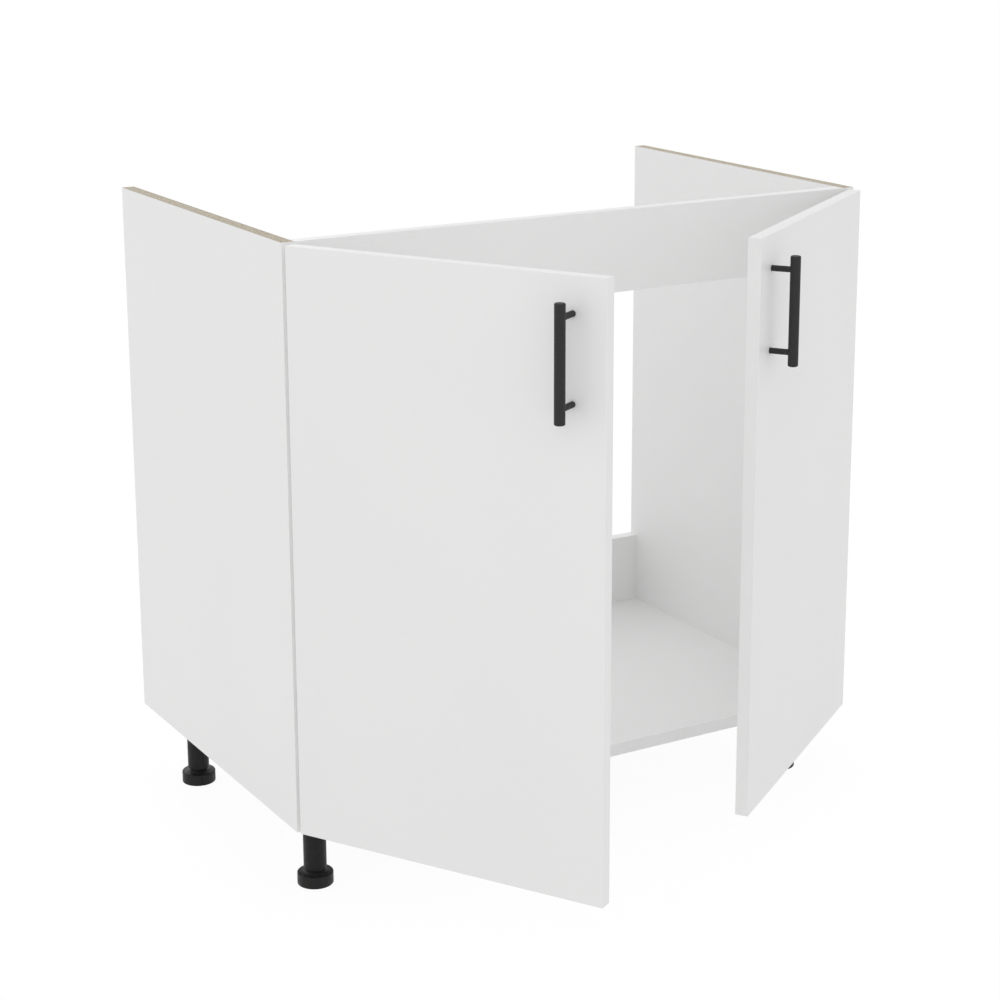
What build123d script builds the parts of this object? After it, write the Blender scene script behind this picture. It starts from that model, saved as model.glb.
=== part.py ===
from build123d import *
import os
from math import cos, radians, sin, sqrt

# Kitchen sink base cabinet: an open-topped white box on four levelling legs, with two hinged doors.
# Millimetres. X runs to the right seen from the front, Y runs from the doors to the wall, Z is up.
# While the pieces are made, Y = 0 is the plane of the carcass's front edges, and Z = 0 is the floor.
# At the end every piece moves along Y alike, so that the origin is on the floor under the middle of
# what the cabinet covers as it stands in the photograph, with its doors part open.

# ---------------------------------------------------------------------------------------------
# Driving dimensions
# ---------------------------------------------------------------------------------------------

# Carcass boards
cabinet_width = 800.0
side_height = 700.0
side_depth = 480.0
board = 16.0                    # thickness of every carcass board
leg_height = 100.0              # floor to the underside of the carcass
rail_height = 100.0
strip_height = 100.0
carcass_band = 0.4              # edge band on the carcass boards
peg_play = 0.05                 # radial play of a peg, pin or screw in its hole
hole_spare = 1.0                # depth left under the end of a screw or dowel

# Cam fittings and dowels that join the boards
cam_diameter = 15.0
cam_length = 12.0
cam_inset = 34.0                # board end to cam centre
cam_play = 0.1
cam_chamfer = 0.5
bolt_thread_diameter = 5.0
bolt_thread_length = 11.0
bolt_shaft_diameter = 6.0
bolt_neck_diameter = 3.6
bolt_neck_length = 4.0
bolt_head_length = 2.5
dowel_diameter = 8.0
dowel_length = 30.0
dowel_in_side = 10.0
dowel_chamfer = 0.8
dowel_spacing = 32.0            # cam bolt to the dowel beside it
bottom_cam_inset = 110.0        # front or back edge of the bottom panel to its cam bolts

# Doors
door_thickness = 16.0
door_gap = 2.0                  # carcass front to the back of a closed door
door_side_reveal = 1.5          # cabinet's outer face to the door's outer edge
door_meeting_gap = 3.0          # between the two closed doors
door_end_reveal = 2.0           # carcass top or underside to the door's end
door_band = 1.0                 # edge band on the doors
band_joint = 0.06               # between two bands that meet at a corner
door_ease = 0.7                 # rounding of the door's outer corners
left_open = 60.0                # degrees, as photographed
right_open = 35.0
pivot_from_edge = 6.5           # hinge pin to the door's outer edge
pivot_from_face = 5.9           # hinge pin to the door's front face

# Door buffers
buffer_diameter = 8.0
buffer_length = 1.6
buffer_round = 0.7
buffer_inset = 12.0             # free edge of the door to the buffer's centre
buffer_end_inset = 8.0          # end of the door to the buffer's centre

# Handles
bar_diameter = 12.0
bar_length = 128.0
bar_chamfer = 0.9
post_spacing = 96.0
post_diameter = 7.0
post_in_bar = 3.5
bar_standoff = 28.0             # door face to the bar's axis
handle_from_top = 40.0          # door's top end to the upper post
handle_from_edge = 39.5         # door's free edge to the posts
handle_screw_diameter = 4.0
handle_screw_in_post = 10.0
handle_head_diameter = 8.0
handle_head_height = 2.4
handle_recess_depth = 1.5
handle_recess_play = 0.5

# Hinges, two a door: one pin in a cup, and an arm that reaches round the side's front edge
hinge_from_end = 130.0          # end of the door to a hinge's middle
cup_diameter = 35.0
cup_depth = 13.3
cup_wall = 1.0
cup_floor = 0.8
cup_play = 0.05
cup_from_edge = 2.5             # door's outer edge to the cup
flange_thickness = 1.0
flange_length = 58.0
flange_from_middle = 13.0       # cup's middle to the flange's edge on the pin's side
flange_width = 28.5
flange_round = 4.0
cup_screw_spacing = 45.0
cup_screw_offset = 9.5          # cup's middle to the line of its screws
cup_screw_head_diameter = 6.6
cup_screw_head_height = 1.4
pin_diameter = 2.4
lug_width = 6.0                 # the cup's two lugs that hold the pin
knuckle_diameter = 4.4
knuckle_length = 8.0
knuckle_play = 0.25             # knuckle to each lug
neck_thickness = 2.4
neck_drop = 0.4                 # how far the neck's bend lies nearer the door's face than the pin
neck_reach = 19.0               # pin to the neck's bend, along the door
neck_clear_of_side = 3.8        # side's inner face to the neck where it passes the front edge
neck_clear_of_front = 1.5       # and how far ahead of that edge its bend lies
arm_level = 10.9                # side's inner face to the underside of the arm's web
arm_web = 1.6
arm_cheek = 1.2
arm_width = 14.4
arm_cheek_height = 8.0
arm_inset = 9.0                 # side's front edge to the arm's front end
arm_length = 57.0
arm_round = 0.9                 # rounding of the arm's long edges
arm_taper = 9.0                 # how far the neck widens towards the arm
plate_thickness = 2.5
plate_wing_length = 48.0
plate_wing_width = 16.0
plate_wing_round = 6.0
plate_screw_from_front = 37.0
plate_screw_spacing = 32.0
plate_foot_width = 17.0
rib_inset = 22.0                # side's front edge to the raised rib's front end
rib_length = 42.0
rib_play = 0.2                  # rib to the arm's cheeks
rib_top_play = 0.1              # rib to the arm's web
fixing_screw_from_front = 56.0
adjusting_screw_from_front = 30.0
arm_screw_diameter = 5.0
arm_screw_head_diameter = 8.5
arm_screw_head_height = 2.0
arm_screw_in_rib = 6.5

# Chipboard screws of the cups, plates and leg sockets: the last two are countersunk
wood_screw_diameter = 3.5
wood_screw_head_diameter = 7.0
wood_screw_head_height = 1.8
cup_screw_in_board = 11.0
plate_screw_in_board = 12.0
leg_screw_in_board = 12.0
cross_slot_width = 0.9
cross_slot_depth = 0.8
cross_slot_share = 0.6          # cross slot's length in head diameters
screw_head_round = 0.5

# Levelling legs
leg_from_side = 50.0            # cabinet's outer face to the leg's centre
leg_from_front = 60.0
leg_from_back = 60.0
foot_diameter = 44.0
foot_height = 15.0
foot_top_round = 1.6
foot_bottom_round = 0.8
notch_width = 2.0
notch_depth = 1.2
notch_count = 2
front_left_turn = 334.0         # degrees to each foot's first notch, as it was screwed in
front_right_turn = 20.0
back_left_turn = 258.6
back_right_turn = 110.0
neck_diameter = 24.0            # the foot's collar, under the tube
neck_height = 4.5
stem_diameter = 20.0
stem_length = 46.0
stem_play = 0.1
tube_diameter = 28.0
tube_chamfer = 0.6
socket_diameter = 58.0
socket_thickness = 3.0
spigot_length = 18.0
spigot_bore = 12.0
socket_screw_circle = 44.0
socket_screw_count = 4

# ---------------------------------------------------------------------------------------------
# Worked-out places
# ---------------------------------------------------------------------------------------------

half_width = cabinet_width / 2
inner_half = half_width - board             # cabinet's centre to a side's inner face
floor_top = leg_height + board              # top of the bottom panel
carcass_top = leg_height + side_height
rail_bottom = carcass_top - rail_height
strip_top = floor_top + strip_height

door_width = (cabinet_width - 2 * door_side_reveal - door_meeting_gap) / 2
door_outer = half_width - door_side_reveal  # cabinet's centre to a closed door's outer edge
door_inner = door_outer - door_width        # and to its free edge
door_back = -door_gap
door_front = door_back - door_thickness
door_bottom = leg_height + door_end_reveal
door_top = carcass_top - door_end_reveal

pivot_x = door_outer - pivot_from_edge
pivot_y = door_front + pivot_from_face
cup_x = door_outer - cup_from_edge - cup_diameter / 2
cup_screw_x = cup_x - cup_screw_offset
hinge_heights = [door_bottom + hinge_from_end, door_top - hinge_from_end]

post_x = door_inner + handle_from_edge
post_heights = [door_top - handle_from_top - post_spacing, door_top - handle_from_top]
bar_y = door_front - bar_standoff
handle_seat_y = door_back - handle_recess_depth

leg_x = half_width - leg_from_side
tube_bottom = foot_height + neck_height
tube_top = leg_height - socket_thickness
tube_bore = stem_diameter + 2 * stem_play

# The origin lies under the middle of the open cabinet's footprint
reach = pivot_x - door_inner
foremost = pivot_y - reach * sin(radians(left_open)) - pivot_from_face * cos(radians(left_open))
origin_shift = -(side_depth + foremost) / 2


# ---------------------------------------------------------------------------------------------
# Helpers
# ---------------------------------------------------------------------------------------------

def block(x0, x1, y0, y1, z0, z1):
    """A box between two corners."""
    return Pos((x0 + x1) / 2, (y0 + y1) / 2, (z0 + z1) / 2) * Box(abs(x1 - x0), y1 - y0, z1 - z0)


def rod(start, direction, diameter, length):
    """A round rod from a point along a direction."""
    base = Plane(origin=start, z_dir=direction)
    return base * Cylinder(diameter / 2, length, align=(Align.CENTER, Align.CENTER, Align.MIN))


def hole(start, direction, diameter, length):
    """The drilling that takes a rod of that diameter, with play round it and under its end."""
    return rod(start, direction, diameter + 2 * peg_play, length + hole_spare)


def strap(start, end, thickness, z, height):
    """A level strip with round ends from one (x, y) to another, half its height each side of z."""
    ends = [Pos(*point, z) * Cylinder(thickness / 2, height) for point in (start, end)]
    dx, dy = end[0] - start[0], end[1] - start[1]
    between = Plane(origin=((start[0] + end[0]) / 2, (start[1] + end[1]) / 2, z), x_dir=(dx, dy, 0))
    return between * Box(sqrt(dx * dx + dy * dy), thickness, height) + ends


def cross_slot(centre, direction, head_diameter):
    """The cross recess in a screw's or cam's face; direction points into the face."""
    face = Plane(origin=centre, z_dir=direction)
    slot = Box(cross_slot_share * head_diameter, cross_slot_width, 2 * cross_slot_depth)
    return [face * slot, face * Rot(0, 0, 90) * slot]


def screw(seat, direction, diameter, length, head_diameter, head_height):
    """A screw whose head stands on the seat, with its shank along the direction."""
    back = Vector(*direction) * -1
    top = Vector(*seat) + back * head_height
    head = rod(seat, back, head_diameter, head_height)
    rim = head.edges().filter_by(GeomType.CIRCLE).sort_by(Axis(seat, back))[-1]
    head = fillet(rim, min(screw_head_round, 0.45 * head_height))
    body = head + rod(seat, direction, diameter, length)
    return body - cross_slot(top, direction, head_diameter)


def sunk_head(face, direction, play=0.0):
    """The cone of a countersunk head, from the face that it is flush with."""
    base = Plane(origin=face, z_dir=direction)
    return base * Cone(wood_screw_head_diameter / 2 + play, wood_screw_diameter / 2 + play,
                       wood_screw_head_height, align=(Align.CENTER, Align.CENTER, Align.MIN))


def wood_screw(face, direction, length):
    """A countersunk chipboard screw, with its length counted from the face."""
    body = rod(face, direction, wood_screw_diameter, length) + sunk_head(face, direction)
    return body - cross_slot(face, direction, wood_screw_head_diameter)


def ring_points(x, y, diameter, count, first):
    """Points evenly round a level circle."""
    angles = [radians(first + 360.0 * k / count) for k in range(count)]
    return [(x + diameter / 2 * cos(a), y + diameter / 2 * sin(a)) for a in angles]


def mirrored(solids):
    """The same pieces on the right-hand side."""
    return [mirror(solid, about=Plane.YZ) for solid in solids]


def swung(solids, side):
    """A closed door's pieces turned to the photographed opening; side is -1 left, 1 right."""
    angle = left_open if side < 0 else right_open
    pin_line = Pos(side * pivot_x, pivot_y, 0)
    turn = pin_line * Rot(0, 0, side * angle) * pin_line.inverse()
    return [turn * solid for solid in solids]


def save(node, solids):
    """Write one node's solids, moved to the part's own origin."""
    moved = [Pos(0, origin_shift, 0) * solid for shape in solids for solid in shape.solids()]
    export_step(Compound(children=moved), "parts/" + node + ".step")


# ---------------------------------------------------------------------------------------------
# Fittings that join the boards: places of each board's left end, mirrored for the right
# ---------------------------------------------------------------------------------------------

class Corner:
    """Where one board meets the left side: its cam bolt, its dowels and the cam's open face."""

    def __init__(self, bolt, dowels, cam_face, cam_out):
        self.bolt = bolt            # (y, z) of the cam bolt
        self.dowels = dowels        # (y, z) of each dowel
        self.cam_face = cam_face    # (y, z) on the board's hidden face, beside the bolt
        self.cam_out = cam_out      # direction out of the cam's bore


def bottom_corners():
    """Two cam bolts and two dowels at each end of the bottom panel, with the cams underneath."""
    middle = leg_height + board / 2
    corners = []
    for y, inward in ((bottom_cam_inset, 1), (side_depth - bottom_cam_inset, -1)):
        dowels = [(y + inward * dowel_spacing, middle)]
        corners.append(Corner((y, middle), dowels, (y, leg_height), (0, 0, -1)))
    return corners


def upright_corner(y_middle, z_middle):
    """A cam bolt between two dowels, with the cam in the board's back face."""
    dowels = [(y_middle, z_middle - dowel_spacing), (y_middle, z_middle + dowel_spacing)]
    return Corner((y_middle, z_middle), dowels, (y_middle + board / 2, z_middle), (0, 1, 0))


bottom_ends = bottom_corners()
rail_ends = [upright_corner(board / 2, carcass_top - rail_height / 2)]
strip_ends = [upright_corner(side_depth - board / 2, floor_top + strip_height / 2)]
all_ends = bottom_ends + rail_ends + strip_ends


def side_holes(corners):
    """Drillings in the left side's inner face."""
    holes = []
    for corner in corners:
        start = (-inner_half, *corner.bolt)
        holes.append(hole(start, (-1, 0, 0), bolt_thread_diameter, bolt_thread_length))
        holes += [hole((-inner_half, *spot), (-1, 0, 0), dowel_diameter, dowel_in_side)
                  for spot in corner.dowels]
    return holes


def board_holes(corners):
    """Drillings in both ends of a board, and the cam bores in its hidden face."""
    holes = []
    for corner in corners:
        holes.append(rod((-inner_half, *corner.bolt), (1, 0, 0), bolt_shaft_diameter + 2 * peg_play,
                         cam_inset))
        holes += [hole((-inner_half, *spot), (1, 0, 0), dowel_diameter, dowel_length - dowel_in_side)
                  for spot in corner.dowels]
        start = (cam_inset - inner_half, *corner.cam_face)
        inward = Vector(*corner.cam_out) * -1
        holes.append(rod(start, inward, cam_diameter + 2 * cam_play, cam_length + cam_play))
    return holes + mirrored(holes)


def cam_bolt(corner):
    """Threaded into the side, with a shaft, a neck and a head that the cam draws in."""
    shaft_length = cam_inset - cam_diameter / 2 - cam_play
    reaches = [(-bolt_thread_length, bolt_thread_diameter, bolt_thread_length),
               (0, bolt_shaft_diameter, shaft_length),
               (shaft_length, bolt_neck_diameter, bolt_neck_length),
               (shaft_length + bolt_neck_length, bolt_shaft_diameter, bolt_head_length)]
    lengths = [rod((start - inner_half, *corner.bolt), (1, 0, 0), diameter, length)
               for start, diameter, length in reaches]
    return lengths[0] + lengths[1:]


def cam_lock(corner):
    """A round cam with a channel for the bolt's head and a cross recess."""
    centre = (cam_inset - inner_half, *corner.cam_face)
    inward = Vector(*corner.cam_out) * -1
    rim = (cam_inset - cam_diameter - inner_half, *corner.bolt)
    channel_end = cam_diameter / 2 + bolt_neck_length + bolt_head_length + 2 * cam_play
    channel = rod(rim, (1, 0, 0), bolt_shaft_diameter + 2 * cam_play, channel_end)
    drum = rod(centre, inward, cam_diameter, cam_length)
    drum = chamfer(drum.edges().filter_by(GeomType.CIRCLE), cam_chamfer)
    return drum - channel - cross_slot(centre, inward, cam_diameter)


def dowel(spot):
    peg = rod((-inner_half - dowel_in_side, *spot), (1, 0, 0), dowel_diameter, dowel_length)
    return chamfer(peg.edges().filter_by(GeomType.CIRCLE), dowel_chamfer)


# ---------------------------------------------------------------------------------------------
# Levelling legs
# ---------------------------------------------------------------------------------------------

leg_places = {
    "front_left": (-leg_x, leg_from_front, front_left_turn),
    "front_right": (leg_x, leg_from_front, front_right_turn),
    "back_left": (-leg_x, side_depth - leg_from_back, back_left_turn),
    "back_right": (leg_x, side_depth - leg_from_back, back_right_turn),
}


def socket_screw_points(x, y):
    return ring_points(x, y, socket_screw_circle, socket_screw_count, 180.0 / socket_screw_count)


def leg_socket(x, y):
    """A round plate screwed under the bottom panel, with a hollow spigot inside the tube."""
    plate = rod((x, y, tube_top), (0, 0, 1), socket_diameter, socket_thickness)
    plate += rod((x, y, tube_top), (0, 0, -1), tube_bore - 2 * peg_play, spigot_length)
    plate -= rod((x, y, tube_top), (0, 0, -1), spigot_bore, spigot_length)
    for sx, sy in socket_screw_points(x, y):
        plate -= hole((sx, sy, leg_height), (0, 0, -1), wood_screw_diameter, socket_thickness)
        plate -= sunk_head((sx, sy, tube_top), (0, 0, 1), peg_play)
    return plate


def leg_screws(x, y):
    length = socket_thickness + leg_screw_in_board
    return [wood_screw((sx, sy, tube_top), (0, 0, 1), length) for sx, sy in socket_screw_points(x, y)]


def leg_tube(x, y):
    height = tube_top - tube_bottom
    tube = rod((x, y, tube_bottom), (0, 0, 1), tube_diameter, height)
    tube = chamfer(tube.edges().group_by(Axis.Z)[0], tube_chamfer)
    return tube - rod((x, y, tube_bottom), (0, 0, 1), tube_bore, height)


def leg_foot(x, y, turn):
    """A round foot with wrench notches, a collar that meets the tube, and a threaded stem."""
    disc = rod((x, y, 0), (0, 0, 1), foot_diameter, foot_height)
    disc = fillet(disc.edges().group_by(Axis.Z)[-1], foot_top_round)
    disc = fillet(disc.edges().group_by(Axis.Z)[0], foot_bottom_round)
    for nx, ny in ring_points(x, y, foot_diameter, notch_count, turn):
        notch = Plane(origin=(nx, ny, foot_height / 2), x_dir=(nx - x, ny - y, 0))
        disc -= notch * Box(2 * notch_depth, notch_width, foot_height)
    collar = rod((x, y, foot_height), (0, 0, 1), neck_diameter, neck_height)
    stem = rod((x, y, tube_bottom), (0, 0, 1), stem_diameter, stem_length)
    return disc + collar + stem


# ---------------------------------------------------------------------------------------------
# Hinges, made for the left door, closed
# ---------------------------------------------------------------------------------------------

def cup_screw_points(z):
    return [(-cup_screw_x, door_back, z + side * cup_screw_spacing / 2) for side in (-1, 1)]


def plate_screw_points(z):
    return [(plate_screw_from_front, z + side * plate_screw_spacing / 2) for side in (-1, 1)]


def hinge_cup(z):
    """A round cup let into the door's back, with a flange for its screws and two lugs for its pin."""
    mouth = (-cup_x, door_back, z)
    cup = rod(mouth, (0, -1, 0), cup_diameter, cup_depth)
    left = -cup_x - flange_from_middle
    half_flange = flange_length / 2
    flange_y = door_back + flange_thickness
    flange = block(left, left + flange_width, door_back, flange_y, z - half_flange, z + half_flange)
    flange = fillet(flange.edges().filter_by(Axis.Y), flange_round)
    cup += flange
    hollow = rod((-cup_x, flange_y, z), (0, -1, 0), cup_diameter - 2 * cup_wall,
                 cup_depth - cup_floor + flange_thickness)
    cup -= hollow
    for low, high in ((-cup_diameter / 2, -knuckle_length / 2 - knuckle_play),
                      (knuckle_length / 2 + knuckle_play, cup_diameter / 2)):
        lug = block(-cup_x - cup_diameter / 2, lug_width / 2 - pivot_x, door_back - cup_depth, door_back,
                    z + low, z + high)
        cup += lug & hollow
    cup -= hinge_pin(z, peg_play)
    for x, y, screw_z in cup_screw_points(z):
        cup -= rod((x, flange_y, screw_z), (0, -1, 0), wood_screw_diameter + 2 * peg_play, flange_thickness)
    return cup


def hinge_pin(z, play=0.0):
    """The pin across the cup, from lug to lug, ending within the cup's wall."""
    side_step = pivot_x - cup_x + pin_diameter / 2
    half_length = sqrt((cup_diameter / 2 - cup_wall / 2) ** 2 - side_step ** 2)
    start = (-pivot_x, pivot_y, z - half_length - play)
    return rod(start, (0, 0, 1), pin_diameter + 2 * play, 2 * (half_length + play))


def widening(start, end, z):
    """The last stretch of the neck, which widens to the arm's width at its end."""
    dx, dy = end[0] - start[0], end[1] - start[1]
    slant = Plane(origin=(*end, z), x_dir=(dx, dy, 0), z_dir=(dy, -dx, 0))
    outline = Polygon((-arm_taper, -knuckle_length / 2), (0, -arm_width / 2), (0, arm_width / 2),
                      (-arm_taper, knuckle_length / 2), align=None)
    return extrude(slant * outline, amount=neck_thickness / 2, both=True)


def hinge_arm(z):
    """A knuckle on the pin, a neck that bends round the side's front edge, and a channel-shaped arm."""
    web_x = -inner_half + arm_level + arm_web / 2
    outer_x = web_x + arm_web / 2
    half = arm_width / 2
    arm_end = arm_inset + arm_length
    channel = block(web_x - arm_web / 2, outer_x, arm_inset, arm_end, z - half, z + half)
    for low in (z - half, z + half - arm_cheek):
        channel += block(outer_x - arm_cheek_height, outer_x, arm_inset, arm_end, low, low + arm_cheek)
    long_edges = channel.edges().filter_by(Axis.Y).group_by(Axis.X)[-1]
    channel = fillet(long_edges, min(arm_round, 0.9 * arm_cheek))

    knuckle = (-pivot_x, pivot_y)
    bend = (-pivot_x + neck_reach, pivot_y - neck_drop)
    passing = (-inner_half + neck_clear_of_side, -neck_clear_of_front)
    web_front = (web_x, arm_inset)
    arm = channel + Pos(*knuckle, z) * Cylinder(knuckle_diameter / 2, knuckle_length)
    for start, end in ((knuckle, bend), (bend, passing), (passing, web_front)):
        arm += strap(start, end, neck_thickness, z, knuckle_length)
    arm += widening(passing, web_front, z)
    arm -= Pos(*knuckle, z) * Cylinder(pin_diameter / 2 + peg_play, knuckle_length)
    for y in (fixing_screw_from_front, adjusting_screw_from_front):
        arm -= rod((outer_x, y, z), (-1, 0, 0), arm_screw_diameter + 4 * peg_play, arm_web)
    return arm


def hinge_plate(z):
    """A winged plate on the side's inner face, with a raised rib that carries the arm."""
    half_wing = plate_wing_length / 2
    front = plate_screw_from_front - plate_wing_width / 2
    base_x = -inner_half + plate_thickness
    plate = block(-inner_half, base_x, front, front + plate_wing_width, z - half_wing, z + half_wing)
    plate = fillet(plate.edges().filter_by(Axis.X), min(plate_wing_round, 0.45 * plate_wing_width))
    half_foot = plate_foot_width / 2
    rib_end = rib_inset + rib_length
    plate += block(-inner_half, base_x, rib_inset, rib_end, z - half_foot, z + half_foot)
    half_rib = arm_width / 2 - arm_cheek - rib_play
    rib_x = -inner_half + arm_level - rib_top_play
    plate += block(base_x, rib_x, rib_inset, rib_end, z - half_rib, z + half_rib)
    for y in (fixing_screw_from_front, adjusting_screw_from_front):
        plate -= hole((rib_x, y, z), (-1, 0, 0), arm_screw_diameter, arm_screw_in_rib)
    for y, screw_z in plate_screw_points(z):
        plate -= hole((base_x, y, screw_z), (-1, 0, 0), wood_screw_diameter, plate_thickness)
        plate -= sunk_head((base_x, y, screw_z), (-1, 0, 0), peg_play)
    return plate


def arm_screws(z):
    seat_x = -inner_half + arm_level + arm_web
    length = arm_web + rib_top_play + arm_screw_in_rib
    return [screw((seat_x, y, z), (-1, 0, 0), arm_screw_diameter, length,
                  arm_screw_head_diameter, arm_screw_head_height)
            for y in (fixing_screw_from_front, adjusting_screw_from_front)]


def plate_screws(z):
    face_x = -inner_half + plate_thickness
    length = plate_thickness + plate_screw_in_board
    return [wood_screw((face_x, y, screw_z), (-1, 0, 0), length) for y, screw_z in plate_screw_points(z)]


def cup_screws(z):
    length = flange_thickness + cup_screw_in_board
    return [screw((x, y + flange_thickness, screw_z), (0, -1, 0), wood_screw_diameter, length,
                  cup_screw_head_diameter, cup_screw_head_height)
            for x, y, screw_z in cup_screw_points(z)]


# ---------------------------------------------------------------------------------------------
# Carcass boards and their edge bands
# ---------------------------------------------------------------------------------------------

def side_panel():
    """The left side: its top, bottom and back edges are raw, its front edge is banded."""
    panel = block(-half_width, -inner_half, carcass_band, side_depth, leg_height, carcass_top)
    holes = side_holes(all_ends)
    for z in hinge_heights:
        holes += [hole((-inner_half, y, screw_z), (-1, 0, 0), wood_screw_diameter, plate_screw_in_board)
                  for y, screw_z in plate_screw_points(z)]
    return panel - holes


def side_band():
    return block(-half_width, -inner_half, 0, carcass_band, leg_height, carcass_top)


def bottom_panel():
    panel = block(-inner_half, inner_half, carcass_band, side_depth, leg_height, floor_top)
    holes = board_holes(bottom_ends)
    for x, y, turn in leg_places.values():
        holes += [hole((sx, sy, leg_height), (0, 0, 1), wood_screw_diameter, leg_screw_in_board)
                  for sx, sy in socket_screw_points(x, y)]
    return panel - holes


def bottom_band():
    return block(-inner_half, inner_half, 0, carcass_band, leg_height, floor_top)


def front_rail():
    rail = block(-inner_half, inner_half, 0, board, rail_bottom + carcass_band, carcass_top - carcass_band)
    return rail - board_holes(rail_ends)


def rail_bands():
    return [block(-inner_half, inner_half, 0, board, low, low + carcass_band)
            for low in (rail_bottom, carcass_top - carcass_band)]


def back_strip():
    strip = block(-inner_half, inner_half, side_depth - board, side_depth, floor_top,
                  strip_top - carcass_band)
    return strip - board_holes(strip_ends)


def strip_band():
    return block(-inner_half, inner_half, side_depth - board, side_depth,
                 strip_top - carcass_band, strip_top)


# ---------------------------------------------------------------------------------------------
# Doors and what rides on them, made for the left door, closed
# ---------------------------------------------------------------------------------------------

def door_core():
    """The door's board inside its edge bands, before drilling."""
    return block(-door_outer + door_band, -door_inner - door_band, door_front, door_back,
                 door_bottom + door_band, door_top - door_band)


def door_board():
    holes = []
    for z in hinge_heights:
        holes.append(rod((-cup_x, door_back, z), (0, -1, 0), cup_diameter + 2 * cup_play,
                         cup_depth + cup_play))
        holes += [hole(point, (0, -1, 0), wood_screw_diameter, cup_screw_in_board)
                  for point in cup_screw_points(z)]
    for z in post_heights:
        holes.append(rod((-post_x, door_back, z), (0, -1, 0), handle_screw_diameter + 2 * peg_play,
                         door_thickness))
        holes.append(rod((-post_x, door_back, z), (0, -1, 0), handle_head_diameter + 2 * handle_recess_play,
                         handle_recess_depth))
    return door_core() - holes


def door_bands():
    """Four strips round the board: two along its full height and two between them."""
    ease = min(door_ease, 0.9 * door_band)
    whole = block(-door_outer, -door_inner, door_front, door_back, door_bottom, door_top)
    frame = fillet(whole.edges(), ease) - door_core()
    left = block(-door_outer, -door_outer + door_band, door_front, door_back, door_bottom, door_top)
    right = block(-door_inner - door_band, -door_inner, door_front, door_back, door_bottom, door_top)
    inset = door_band + band_joint
    between = (-door_outer + inset, -door_inner - inset, door_front, door_back)
    low = block(*between, door_bottom, door_bottom + door_band)
    high = block(*between, door_top - door_band, door_top)
    return [frame & part for part in (left, right, low, high)]


def door_buffers():
    """Small pads that meet the rail and the bottom panel's edge when the door shuts."""
    pads = []
    for z in (door_bottom + buffer_end_inset, door_top - buffer_end_inset):
        pad = rod((-door_inner - buffer_inset, door_back, z), (0, 1, 0), buffer_diameter, buffer_length)
        pads.append(fillet(pad.edges().group_by(Axis.Y)[-1], min(buffer_round, 0.45 * buffer_length)))
    return pads


def handle_bar():
    low = sum(post_heights) / 2 - bar_length / 2
    bar = rod((-post_x, bar_y, low), (0, 0, 1), bar_diameter, bar_length)
    bar = chamfer(bar.edges().filter_by(GeomType.CIRCLE), bar_chamfer)
    back = bar_y + bar_diameter / 2
    return bar - [rod((-post_x, back, z), (0, -1, 0), post_diameter + 2 * peg_play, post_in_bar)
                  for z in post_heights]


def handle_posts():
    length = bar_standoff - bar_diameter / 2 + post_in_bar
    return [rod((-post_x, door_front, z), (0, -1, 0), post_diameter, length)
            - hole((-post_x, door_front, z), (0, -1, 0), handle_screw_diameter, handle_screw_in_post)
            for z in post_heights]


def handle_screws():
    length = handle_seat_y - door_front + handle_screw_in_post
    return [screw((-post_x, handle_seat_y, z), (0, -1, 0), handle_screw_diameter, length,
                  handle_head_diameter, handle_head_height)
            for z in post_heights]


# ---------------------------------------------------------------------------------------------
# Every node
# ---------------------------------------------------------------------------------------------

def save_pair(name, solids):
    """A carcass piece made for the left, and its mirror image."""
    save(name + "_left", solids)
    save(name + "_right", mirrored(solids))


def save_door_pair(name, solids):
    """A door's piece made for the left and closed, and its mirror image, each at its opening."""
    save(name + "_left", swung(solids, -1))
    save(name + "_right", swung(mirrored(solids), 1))


os.makedirs("parts", exist_ok=True)

save_pair("side_panel", [side_panel()])
save_pair("side_front_band", [side_band()])
save("bottom_panel", [bottom_panel()])
save("bottom_front_band", [bottom_band()])
save("front_rail", [front_rail()])
save("rail_bands", rail_bands())
save("back_strip", [back_strip()])
save("back_strip_band", [strip_band()])

left_bolts = [cam_bolt(corner) for corner in all_ends]
left_cams = [cam_lock(corner) for corner in all_ends]
left_dowels = [dowel(spot) for corner in all_ends for spot in corner.dowels]
save("cam_bolts", left_bolts + mirrored(left_bolts))
save("cam_locks", left_cams + mirrored(left_cams))
save("dowels", left_dowels + mirrored(left_dowels))

for name, (x, y, turn) in leg_places.items():
    save("leg_socket_" + name, [leg_socket(x, y)])
    save("leg_tube_" + name, [leg_tube(x, y)])
    save("leg_foot_" + name, [leg_foot(x, y, turn)])
save("leg_screws", [piece for x, y, turn in leg_places.values() for piece in leg_screws(x, y)])

save_door_pair("door", [door_board()])
save_door_pair("door_bands", door_bands())
save_door_pair("door_buffers", door_buffers())
save_door_pair("handle_bar", [handle_bar()])
save_door_pair("handle_posts", handle_posts())
save_door_pair("handle_screws", handle_screws())

save_door_pair("hinge_cups", [hinge_cup(z) for z in hinge_heights])
save_door_pair("hinge_pins", [hinge_pin(z) for z in hinge_heights])
save_door_pair("hinge_cup_screws", [piece for z in hinge_heights for piece in cup_screws(z)])
save_pair("hinge_arms", [hinge_arm(z) for z in hinge_heights])
save_pair("hinge_plates", [hinge_plate(z) for z in hinge_heights])
save_pair("hinge_plate_screws", [piece for z in hinge_heights for piece in plate_screws(z)])
save_pair("hinge_arm_screws", [piece for z in hinge_heights for piece in arm_screws(z)])
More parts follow.
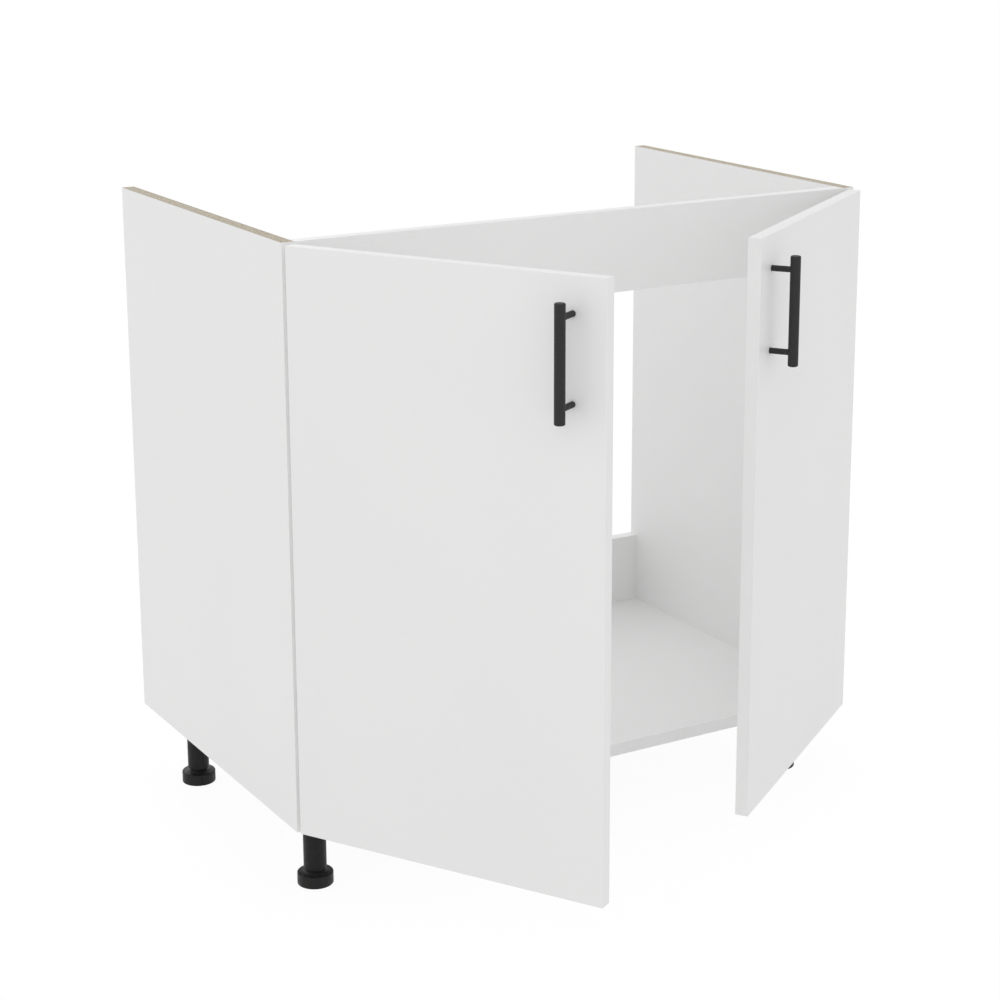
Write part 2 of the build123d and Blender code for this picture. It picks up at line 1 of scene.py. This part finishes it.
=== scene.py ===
import bmesh
import bpy
from math import atan2, cos, pi, radians, sin
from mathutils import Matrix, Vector


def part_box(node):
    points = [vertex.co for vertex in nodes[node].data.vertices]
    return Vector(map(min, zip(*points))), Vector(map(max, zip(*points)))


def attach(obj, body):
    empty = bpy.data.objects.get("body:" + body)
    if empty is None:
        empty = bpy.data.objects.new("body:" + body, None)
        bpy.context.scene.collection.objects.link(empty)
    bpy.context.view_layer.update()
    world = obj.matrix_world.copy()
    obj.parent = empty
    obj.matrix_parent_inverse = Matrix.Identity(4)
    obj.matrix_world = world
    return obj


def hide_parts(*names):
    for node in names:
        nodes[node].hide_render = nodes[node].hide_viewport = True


# Kitchen sink base cabinet: finishes, floor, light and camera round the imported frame.
# Metres, +Z up, doors towards -Y.

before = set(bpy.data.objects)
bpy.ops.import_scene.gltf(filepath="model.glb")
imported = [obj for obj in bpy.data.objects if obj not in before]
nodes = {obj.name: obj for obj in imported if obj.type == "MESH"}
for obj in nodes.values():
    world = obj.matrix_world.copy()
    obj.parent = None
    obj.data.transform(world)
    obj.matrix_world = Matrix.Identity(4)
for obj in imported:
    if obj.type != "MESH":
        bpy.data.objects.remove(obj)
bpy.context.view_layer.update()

MM = 0.001
SIDES = ("left", "right")
CORNERS = ("front_left", "front_right", "back_left", "back_right")


# ---------------------------------------------------------------------------------------------
# Node helpers
# ---------------------------------------------------------------------------------------------

class Finish:
    """A material built round one Principled shader, textured in the object's own coordinates."""

    def __init__(self, name, roughness=0.5, metallic=0.0, specular=0.5):
        self.material = bpy.data.materials.new(name)
        self.material.use_nodes = True
        self.tree = self.material.node_tree
        self.shader = self.tree.nodes["Principled BSDF"]
        self.shader.inputs["Roughness"].default_value = roughness
        self.shader.inputs["Metallic"].default_value = metallic
        self.shader.inputs["Specular IOR Level"].default_value = specular
        self.coordinates = self.tree.nodes.new("ShaderNodeTexCoord")
        self.place = self.coordinates.outputs["Object"]

    def node(self, kind, settings=None, **inputs):
        """A new node; an input is a number, a colour, a vector or another node's output."""
        made = self.tree.nodes.new(kind)
        for key, value in (settings or {}).items():
            setattr(made, key, value)
        for key, value in inputs.items():
            self.feed(made, key.replace("_", " "), value)
        return made

    def feed(self, node, key, value):
        socket = node.inputs[int(key)] if key.isdigit() else node.inputs[key]
        if isinstance(value, bpy.types.NodeSocket):
            self.tree.links.new(value, socket)
        else:
            socket.default_value = value

    def math(self, operation, a, b=0.0):
        made = self.tree.nodes.new("ShaderNodeMath")
        made.operation = operation
        self.feed(made, "0", a)
        self.feed(made, "1", b)
        return made.outputs[0]

    def vector(self, operation, a, b):
        made = self.tree.nodes.new("ShaderNodeVectorMath")
        made.operation = operation
        self.feed(made, "0", a)
        self.feed(made, "Scale" if operation == "SCALE" else "1", b)
        return made.outputs["Value" if operation == "DOT_PRODUCT" else "Vector"]

    def noise(self, size, detail=2.0, place=None, spread=0.5):
        """Soft noise whose lumps are about size metres across, from 0 to 1."""
        made = self.node("ShaderNodeTexNoise", Vector=place or self.place, Scale=1 / size,
                         Detail=detail, Roughness=spread)
        return made.outputs["Fac"]

    def span(self, value, low, high, start=0.0, end=1.0):
        """A value from start..end mapped to low..high, and held at its ends."""
        made = self.tree.nodes.new("ShaderNodeMapRange")
        for index, item in enumerate((value, start, end, low, high)):
            self.feed(made, str(index), item)
        return made.outputs[0]

    def blend(self, factor, a, b):
        """Between two colours."""
        made = self.tree.nodes.new("ShaderNodeMix")
        made.data_type = "RGBA"
        self.feed(made, "0", factor)
        self.feed(made, "6", a)
        self.feed(made, "7", b)
        return made.outputs[2]

    def mix_values(self, factor, a, b):
        made = self.tree.nodes.new("ShaderNodeMix")
        self.feed(made, "0", factor)
        self.feed(made, "2", a)
        self.feed(made, "3", b)
        return made.outputs[0]

    def weighted(self, a, share, b):
        """The sum of a and b, with that share of a and the rest of b."""
        return self.math("ADD", self.math("MULTIPLY", a, share), self.math("MULTIPLY", b, 1 - share))

    def colour(self, value):
        self.feed(self.shader, "Base Color", value)

    def roughness(self, value):
        self.feed(self.shader, "Roughness", value)

    def relief(self, height, depth, strength):
        """A bump that stands depth metres high where height is 1."""
        made = self.node("ShaderNodeBump", Strength=strength, Distance=depth, Height=height)
        self.feed(self.shader, "Normal", made.outputs[0])


def rgb(red, green, blue):
    return (red, green, blue, 1.0)


def paint(names, material):
    """Gives CAD nodes one material."""
    for name in names:
        slots = nodes[name].data.materials
        slots.clear()
        slots.append(material)


def both(*names):
    return [name + "_" + side for name in names for side in SIDES]


# ---------------------------------------------------------------------------------------------
# Finishes
# ---------------------------------------------------------------------------------------------

WHITE = rgb(0.905, 0.905, 0.902)
WHITE_SHADE = rgb(0.893, 0.894, 0.891)
BAND_WHITE = rgb(0.890, 0.890, 0.887)
CHIP_PALE = rgb(0.70, 0.64, 0.53)
CHIP_MID = rgb(0.51, 0.45, 0.35)
CHIP_DARK = rgb(0.27, 0.215, 0.15)
HANDLE_DEEP = rgb(0.025, 0.025, 0.0255)
HANDLE_PALE = rgb(0.031, 0.031, 0.0315)
LEG_DEEP = rgb(0.006, 0.006, 0.006)
LEG_PALE = rgb(0.011, 0.011, 0.0105)
FOOT_DEEP = rgb(0.010, 0.010, 0.0095)
FOOT_PALE = rgb(0.015, 0.015, 0.0145)
NICKEL_BRIGHT = rgb(0.66, 0.65, 0.63)
NICKEL_DULL = rgb(0.58, 0.575, 0.56)
ZINC_BRIGHT = rgb(0.62, 0.63, 0.64)
ZINC_DULL = rgb(0.52, 0.53, 0.55)
CASTING_BRIGHT = rgb(0.58, 0.58, 0.59)
CASTING_DULL = rgb(0.42, 0.42, 0.44)
BEECH = rgb(0.62, 0.43, 0.26)
BEECH_FLECK = rgb(0.45, 0.28, 0.15)
PAD_PALE = rgb(0.80, 0.80, 0.77)
PAD_CLOUD = rgb(0.72, 0.72, 0.68)

CORE_CHIP = 3.2 * MM            # chips in the middle of a board
LAYER_CHIP = 1.0 * MM           # fine chips in its two outer layers
FIBRE = 0.45 * MM               # wood fibres within a chip
CHIP_FLATNESS = 2.4             # how much thinner than broad a chip is, less 1
CORE_END = 0.62                 # shares of half a board's thickness, from its middle plane
LAYER_START = 0.84
COARSE_SHARE = 0.65             # of a core tone that comes from coarse chips, and not from fine ones
LAYER_TONE = 0.92               # how pale the outer layers are beside fine chips of the core
FIBRE_SHARE = 0.28
DARK_TO_MID = (0.22, 0.46)      # tones between which a chip's colour changes
MID_TO_PALE = (0.40, 0.68)
CHANNEL_WEIGHTS = (0.5, 0.3, 0.2)
WANDER_SIZE = 1.7 * MM          # lumps that bend the chips' outlines
WANDER_REACH = 1.3 * MM
RAW_LIMIT = 0.7                 # cosine to the broad faces' direction below which a surface is raw
DRAWN_STRETCH = 0.08            # a drawing line's width as a share of its length
BEECH_STRETCH = (0.12, 1.0, 1.0)


def broad_normal(name):
    """The direction that a board's largest face looks in, at rest."""
    faces = nodes[name].data.polygons
    return max(faces, key=lambda face: face.area).normal.copy()


def chip_tones(finish, place, size):
    """One random tone for each chip, and how near a point is to the chip's middle."""
    chips = finish.node("ShaderNodeTexVoronoi", {"feature": "F1"}, Vector=place, Scale=1 / size)
    tone = finish.vector("DOT_PRODUCT", chips.outputs["Color"], CHANNEL_WEIGHTS)
    return tone, finish.span(chips.outputs["Distance"], 1.0, 0.0, 0.35, 0.85)


def chipboard(finish, name, broad):
    """Colour and relief height of a sawn edge: coarse chips in the core, fine ones towards the faces."""
    levels = [vertex.co.dot(broad) for vertex in nodes[name].data.vertices]
    middle = (max(levels) + min(levels)) / 2
    half = (max(levels) - min(levels)) / 2
    depth = finish.math("SUBTRACT", finish.vector("DOT_PRODUCT", finish.place, tuple(broad)), middle)
    layer = finish.math("DIVIDE", finish.math("ABSOLUTE", depth), half)
    outer = finish.span(layer, 0.0, 1.0, CORE_END, LAYER_START)

    # Chips lie flat in the board, so the pattern is squeezed across its thickness
    squeeze = finish.vector("SCALE", tuple(broad), finish.math("MULTIPLY", depth, CHIP_FLATNESS))
    wander = finish.node("ShaderNodeTexNoise", Vector=finish.place, Scale=1 / WANDER_SIZE, Detail=1.0)
    wander = finish.vector("SCALE", wander.outputs["Color"], WANDER_REACH)
    flat = finish.vector("ADD", finish.vector("ADD", finish.place, squeeze), wander)
    coarse, coarse_body = chip_tones(finish, flat, CORE_CHIP)
    fine, fine_body = chip_tones(finish, flat, LAYER_CHIP)

    fibres = finish.noise(FIBRE, detail=2.0, place=flat)
    core = finish.weighted(coarse, COARSE_SHARE, fine)
    tone = finish.mix_values(outer, core, finish.math("MULTIPLY", fine, LAYER_TONE))
    tone = finish.weighted(tone, 1 - FIBRE_SHARE, fibres)
    wood = finish.blend(finish.span(tone, 0.0, 1.0, *DARK_TO_MID), CHIP_DARK, CHIP_MID)
    wood = finish.blend(finish.span(tone, 0.0, 1.0, *MID_TO_PALE), wood, CHIP_PALE)
    body = finish.mix_values(outer, coarse_body, fine_body)
    # Chip outlines, the low places of the relief, are pulled towards CHIP_DARK: painted shade in the
    # gaps between chips
    wood = finish.blend(finish.span(body, 0.6, 0.0, 0.0, 0.5), wood, CHIP_DARK)
    return wood, finish.math("ADD", body, fibres)


def board_finish(name, broad):
    """White melamine on a board's two broad faces, and raw chipboard on its edges and drillings."""
    finish = Finish(name + "_board", roughness=0.42, specular=0.45)
    across = finish.vector("DOT_PRODUCT", finish.coordinates.outputs["Normal"], tuple(broad))
    raw = finish.math("LESS_THAN", finish.math("ABSOLUTE", across), RAW_LIMIT)
    wood, wood_relief = chipboard(finish, name, broad)

    shade = finish.span(finish.noise(180 * MM, detail=1.0), 0.0, 1.0, 0.3, 0.7)
    white = finish.blend(shade, WHITE, WHITE_SHADE)
    finish.colour(finish.blend(raw, white, wood))

    satin = finish.span(finish.noise(9 * MM), 0.38, 0.47)
    finish.roughness(finish.mix_values(raw, satin, 0.85))
    grain = finish.math("MULTIPLY", finish.noise(0.9 * MM, detail=2.0), 0.10)
    finish.relief(finish.mix_values(raw, grain, wood_relief), 0.22 * MM, strength=0.6)
    return finish.material


def band_finish():
    """Thin plastic edge band, a little smoother than the faces."""
    finish = Finish("edge_band", roughness=0.36)
    shade = finish.span(finish.noise(60 * MM, detail=1.0), 0.0, 1.0, 0.3, 0.7)
    finish.colour(finish.blend(shade, BAND_WHITE, WHITE))
    finish.roughness(finish.span(finish.noise(6 * MM), 0.32, 0.42))
    finish.relief(finish.noise(1.6 * MM), 0.02 * MM, strength=0.5)
    return finish.material


def handle_finish():
    """Satin black powder coat."""
    finish = Finish("black_handle", roughness=0.52, specular=0.24)
    shade = finish.noise(20 * MM, detail=1.0)
    finish.colour(finish.blend(shade, HANDLE_DEEP, HANDLE_PALE))
    finish.roughness(finish.span(finish.noise(4 * MM), 0.48, 0.58))
    finish.relief(finish.noise(0.7 * MM, detail=3.0), 0.03 * MM, strength=0.5)
    return finish.material


def plastic_finish(name, deep, pale):
    """Moulded black plastic with a fine matt texture and a few scuffs."""
    finish = Finish(name, roughness=0.42, specular=0.22)
    shade = finish.noise(25 * MM, detail=2.0)
    finish.colour(finish.blend(shade, deep, pale))
    scuffs = finish.noise(5 * MM, detail=4.0, spread=0.65)
    finish.roughness(finish.span(scuffs, 0.36, 0.56, 0.35, 0.65))
    finish.relief(finish.noise(0.45 * MM, detail=2.0), 0.03 * MM, strength=0.45)
    return finish.material


def metal_finish(name, bright, dull, roughness, along=None):
    """Plated steel; along is the direction of its drawing lines."""
    finish = Finish(name, roughness=roughness, metallic=1.0)
    place = finish.place
    if along is not None:
        stretched = tuple(DRAWN_STRETCH if component else 1.0 for component in along)
        place = finish.vector("MULTIPLY", finish.place, stretched)
    lines = finish.noise(1.0 * MM, detail=1.0, place=place)
    clouds = finish.noise(9 * MM, detail=1.0)
    finish.colour(finish.blend(clouds, bright, dull))
    finish.roughness(finish.span(lines, roughness - 0.03, roughness + 0.05, 0.3, 0.7))
    finish.relief(clouds, 0.04 * MM, strength=0.5)
    return finish.material


def beech_finish():
    """Pale beech with short dark flecks along the dowels, which lie along X."""
    finish = Finish("beech", roughness=0.62)
    along = finish.vector("MULTIPLY", finish.place, BEECH_STRETCH)
    grain = finish.noise(1.2 * MM, detail=4.0, place=along, spread=0.6)
    finish.colour(finish.blend(finish.span(grain, 0.0, 1.0, 0.35, 0.7), BEECH, BEECH_FLECK))
    finish.relief(grain, 0.08 * MM, strength=0.5)
    return finish.material


def pad_finish():
    """Soft translucent pad."""
    finish = Finish("clear_rubber", roughness=0.3)
    cloud = finish.noise(2 * MM, detail=2.0)
    finish.colour(finish.blend(cloud, PAD_PALE, PAD_CLOUD))
    finish.relief(cloud, 0.05 * MM, strength=0.4)
    return finish.material


boards = both("side_panel", "door") + ["bottom_panel", "front_rail", "back_strip"]
for board in boards:
    paint([board], board_finish(board, broad_normal(board)))

paint(both("side_front_band", "door_bands") + ["bottom_front_band", "rail_bands", "back_strip_band"],
      band_finish())
paint(both("handle_bar", "handle_posts"), handle_finish())
leg_plastic = plastic_finish("leg_plastic", LEG_DEEP, LEG_PALE)
foot_plastic = plastic_finish("foot_plastic", FOOT_DEEP, FOOT_PALE)
for corner in CORNERS:
    paint(["leg_socket_" + corner, "leg_tube_" + corner], leg_plastic)
    paint(["leg_foot_" + corner], foot_plastic)
paint(both("hinge_cups", "hinge_arms", "hinge_plates"),
      metal_finish("nickel_steel", NICKEL_BRIGHT, NICKEL_DULL, roughness=0.25, along=(0, 1, 0)))
paint(both("hinge_pins", "hinge_cup_screws", "hinge_plate_screws", "hinge_arm_screws", "handle_screws")
      + ["cam_bolts", "leg_screws"], metal_finish("screw_steel", ZINC_BRIGHT, ZINC_DULL, roughness=0.28))
paint(["cam_locks"], metal_finish("zinc_casting", CASTING_BRIGHT, CASTING_DULL, roughness=0.42))
paint(["dowels"], beech_finish())
paint(both("door_buffers"), pad_finish())


# ---------------------------------------------------------------------------------------------
# Threaded feet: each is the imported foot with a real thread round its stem
# ---------------------------------------------------------------------------------------------

THREAD_PITCH = 3.0 * MM
THREAD_DEPTH = 0.9 * MM
THREAD_RUN_OUT = 1.2 * MM       # length over which the thread fades in and out
HALF_CREST = 0.12               # shares of the pitch
FLANK = 0.2
RINGS_A_TURN = 10
CREASE = radians(32)
WELD = 0.001 * MM
ABOVE_COLLAR = 0.01 * MM


def thread_depth(height, angle, length):
    """How deep the thread is cut at a height above the collar: flat crest, sloped flanks, flat root."""
    phase = (height / THREAD_PITCH - angle / (2 * pi)) % 1.0
    cut = min(max((abs(phase - 0.5) - HALF_CREST) / FLANK, 0.0), 1.0)
    fade = min(height, length - height) / THREAD_RUN_OUT
    return THREAD_DEPTH * cut * min(max(fade, 0.0), 1.0)


def threaded_foot(corner):
    """The foot's disc and collar as packed, with its plain stem made again as a screw."""
    node = nodes["leg_foot_" + corner]
    collar_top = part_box("leg_tube_" + corner)[0].z
    low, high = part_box("leg_foot_" + corner)
    middle = (low + high) / 2

    def angle_of(vertex):
        return atan2(vertex.co.y - middle.y, vertex.co.x - middle.x)

    mesh = bmesh.new()
    mesh.from_mesh(node.data)
    bmesh.ops.remove_doubles(mesh, verts=mesh.verts, dist=WELD)
    above = collar_top + ABOVE_COLLAR
    stem = [face for face in mesh.faces if any(vertex.co.z > above for vertex in face.verts)]
    bmesh.ops.delete(mesh, geom=stem, context="FACES")
    rim = [edge for edge in mesh.edges if edge.is_boundary]
    start = sorted({vertex for edge in rim for vertex in edge.verts}, key=angle_of)
    angles = [angle_of(vertex) for vertex in start]
    radius = (start[0].co.xy - middle.xy).length

    length = high.z - collar_top
    rings = round(length / THREAD_PITCH * RINGS_A_TURN)
    previous = start
    for k in range(1, rings + 1):
        height = length * k / rings
        ring = []
        for angle in angles:
            reach = radius - thread_depth(height, angle, length)
            ring.append(mesh.verts.new((middle.x + reach * cos(angle), middle.y + reach * sin(angle),
                                        collar_top + height)))
        for j, vertex in enumerate(ring):
            mesh.faces.new((previous[j - 1], previous[j], vertex, ring[j - 1]))
        previous = ring
    mesh.faces.new(previous)
    bmesh.ops.recalc_face_normals(mesh, faces=mesh.faces)

    data = bpy.data.meshes.new("foot_" + corner)
    mesh.to_mesh(data)
    mesh.free()
    data.shade_smooth()
    data.set_sharp_from_angle(angle=CREASE)
    foot = bpy.data.objects.new("foot_" + corner, data)
    bpy.context.scene.collection.objects.link(foot)
    data.materials.append(foot_plastic)
    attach(foot, "foot_" + corner)
    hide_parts("leg_foot_" + corner)


for corner in CORNERS:
    threaded_foot(corner)


# ---------------------------------------------------------------------------------------------
# Floor, light and camera
# ---------------------------------------------------------------------------------------------

FLOOR_SIZE = 40.0
FLOOR_WHITE = 0.92
FLOOR_SHADOW = 0.08             # share of the floor's look that takes light and shadow
WORLD_LEVEL = 0.825
LAMP_TARGET = (0.0, 0.0, 0.4)   # the middle of the cabinet


def seen_directly(tree):
    """1 for rays from the camera and for those reflected or let through by gloss and glass."""
    path = tree.nodes.new("ShaderNodeLightPath")
    total = path.outputs["Is Camera Ray"]
    for name in ("Is Glossy Ray", "Is Transmission Ray"):
        highest = tree.nodes.new("ShaderNodeMath")
        highest.operation = "MAXIMUM"
        tree.links.new(total, highest.inputs[0])
        tree.links.new(path.outputs[name], highest.inputs[1])
        total = highest.outputs[0]
    return total


def make_floor():
    bpy.ops.mesh.primitive_plane_add(size=FLOOR_SIZE)
    floor = bpy.context.object
    floor.name = "floor"
    material = bpy.data.materials.new("floor")
    material.use_nodes = True
    tree = material.node_tree
    lit = tree.nodes["Principled BSDF"]
    lit.inputs["Base Color"].default_value = rgb(FLOOR_WHITE, FLOOR_WHITE, FLOOR_WHITE)
    lit.inputs["Roughness"].default_value = 0.9
    lit.inputs["Specular IOR Level"].default_value = 0.0
    # With its share of the world's light the open floor adds up to white, like the world beyond it
    lit_share = FLOOR_SHADOW * FLOOR_WHITE * WORLD_LEVEL
    glow = tree.nodes.new("ShaderNodeEmission")
    glow.inputs["Strength"].default_value = (1.0 - lit_share) / (1.0 - FLOOR_SHADOW)
    share = tree.nodes.new("ShaderNodeMath")
    share.operation = "MULTIPLY"
    tree.links.new(seen_directly(tree), share.inputs[0])
    share.inputs[1].default_value = 1.0 - FLOOR_SHADOW
    mix = tree.nodes.new("ShaderNodeMixShader")
    tree.links.new(share.outputs[0], mix.inputs[0])
    tree.links.new(lit.outputs[0], mix.inputs[1])
    tree.links.new(glow.outputs[0], mix.inputs[2])
    tree.links.new(mix.outputs[0], tree.nodes["Material Output"].inputs["Surface"])
    floor.data.materials.append(material)


def make_world():
    world = bpy.data.worlds.new("studio")
    world.use_nodes = True
    bpy.context.scene.world = world
    tree = world.node_tree
    background = tree.nodes["Background"]
    background.inputs["Color"].default_value = rgb(1.0, 1.0, 1.0)
    level = tree.nodes.new("ShaderNodeMapRange")
    tree.links.new(seen_directly(tree), level.inputs["Value"])
    level.inputs["To Min"].default_value = WORLD_LEVEL
    level.inputs["To Max"].default_value = 1.0
    tree.links.new(level.outputs[0], background.inputs["Strength"])


def soft_lamp(name, place, size, power):
    """A square area lamp that looks at the cabinet."""
    data = bpy.data.lights.new(name, "AREA")
    data.size = size
    data.energy = power
    lamp = bpy.data.objects.new(name, data)
    bpy.context.scene.collection.objects.link(lamp)
    lamp.location = place
    lamp.rotation_euler = (Vector(LAMP_TARGET) - Vector(place)).to_track_quat("-Z", "Y").to_euler()


CAMERA_PLACE = (-1.431, -2.3134, 1.228)
CAMERA_YAW = 31.12              # degrees to the right of straight ahead
CAMERA_PITCH = -13.84
CAMERA_LENS = 81.6              # millimetres
SENSOR_WIDTH = 36.0
CAMERA_SHIFT = (-0.0364, -0.1)


def make_camera():
    data = bpy.data.cameras.new("camera")
    data.sensor_width = SENSOR_WIDTH
    data.lens = CAMERA_LENS
    data.shift_x, data.shift_y = CAMERA_SHIFT
    camera = bpy.data.objects.new("camera", data)
    bpy.context.scene.collection.objects.link(camera)
    camera.location = CAMERA_PLACE
    camera.rotation_euler = (radians(90 + CAMERA_PITCH), 0, radians(-CAMERA_YAW))
    bpy.context.scene.camera = camera


make_floor()
make_world()
soft_lamp("front_left", (-2.4, -2.6, 2.6), size=2.0, power=9.1)
soft_lamp("back", (0.0, 3.6, 1.6), size=2.6, power=14.0)
make_camera()
bpy.context.scene.view_settings.view_transform = "Standard"
